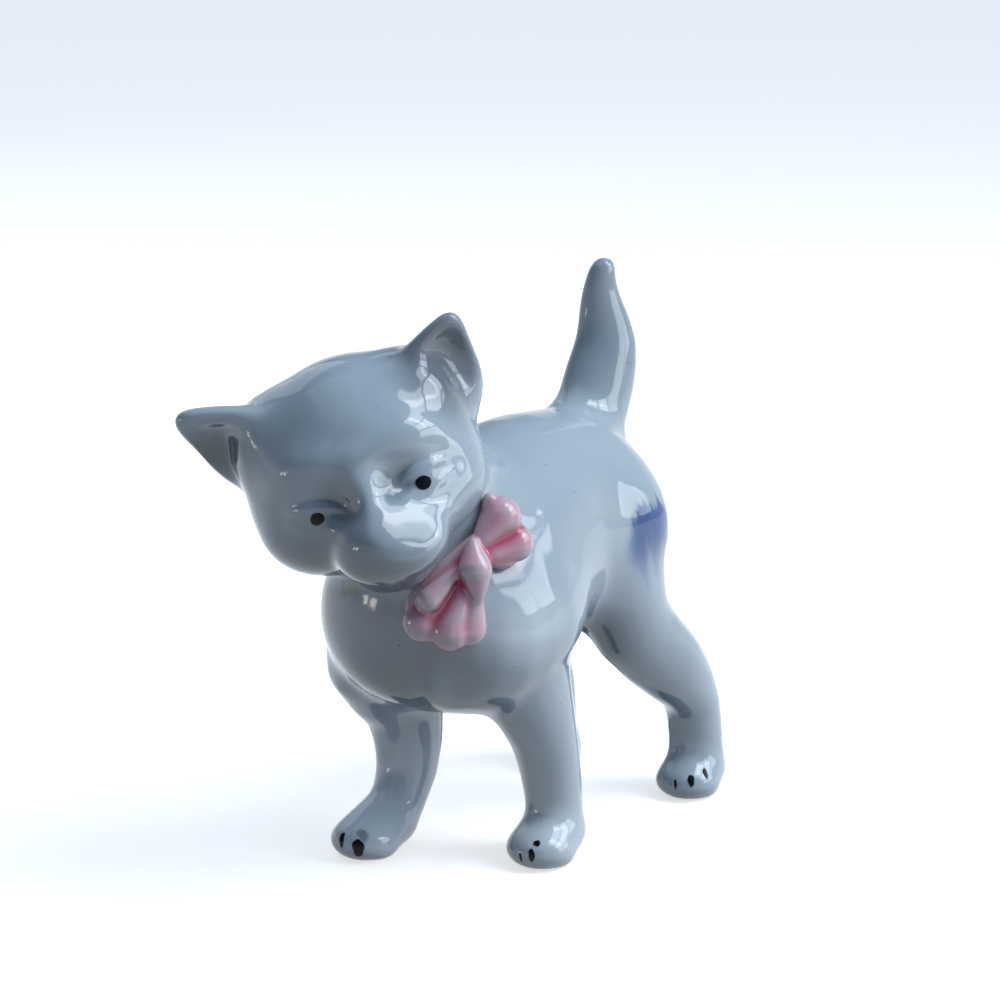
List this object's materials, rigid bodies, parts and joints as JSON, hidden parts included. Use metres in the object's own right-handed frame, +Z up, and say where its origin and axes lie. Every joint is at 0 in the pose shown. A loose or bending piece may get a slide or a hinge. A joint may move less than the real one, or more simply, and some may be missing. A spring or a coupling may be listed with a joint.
{
  "type": "ceramic cat figurine",
  "caption": "Glazed porcelain kitten figurine, walking with its head turned and leaning, tail up, with a pleated bow at its neck; it stands free on flat soles.",
  "frame": {"origin": "middle of the figure's outline on the ground it stands on", "axes": "+Z up, the kitten walks towards -Y, and its left side is +X"},
  "size_m": [0.0452, 0.0787, 0.0812],
  "materials": {
    "white_glaze": "glossy clear glaze over bluish white porcelain, with a brushed cobalt patch on the left haunch",
    "rose_glaze": "glossy rose colour, deeper in the folds and pale on the ridges",
    "black_enamel": "glossy black enamel painted over the glaze"
  },
  "bodies": {
    "root": {"torso_shell": "white_glaze", "head_shell": "white_glaze", "ear_left": "white_glaze", "ear_right": "white_glaze", "front_left_leg": "white_glaze", "front_right_leg": "white_glaze", "hind_left_leg": "white_glaze", "hind_right_leg": "white_glaze", "tail": "white_glaze", "bow_front_loop": "rose_glaze", "bow_rear_loop": "rose_glaze", "bow_knot": "rose_glaze", "eye_pupils": "black_enamel", "claw_marks": "black_enamel"}
  },
  "joints": []
}
